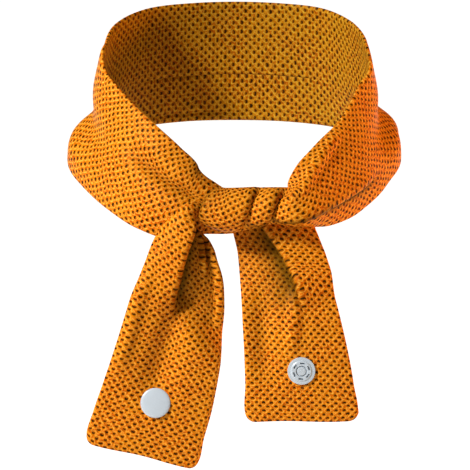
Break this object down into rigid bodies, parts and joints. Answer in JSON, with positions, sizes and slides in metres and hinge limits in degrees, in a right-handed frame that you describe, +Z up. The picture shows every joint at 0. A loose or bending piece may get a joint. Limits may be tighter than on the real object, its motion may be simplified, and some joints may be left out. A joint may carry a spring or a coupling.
{
  "type": "cooling neck wrap",
  "caption": "A knitted strip that goes round the neck and is tied in front with a half knot, its tails hanging, with a plastic snap near each end",
  "frame": {"origin": "on the axis of the neck, at the height of the middle of the band behind the neck", "axes": "+Z up along the neck, -Y to the front where the knot and the tails are, +X to the right as the picture shows it"},
  "size_m": [0.1642, 0.1542, 0.2054],
  "materials": {
    "knit": "matte open knit with small holes",
    "snap_plastic": "smooth, slightly glossy, white"
  },
  "bodies": {
    "root": {"neck_strip": "knit", "left_snap_cap": "snap_plastic", "left_snap_stud": "snap_plastic", "right_snap_socket": "snap_plastic", "right_snap_cap": "snap_plastic"}
  },
  "joints": []
}
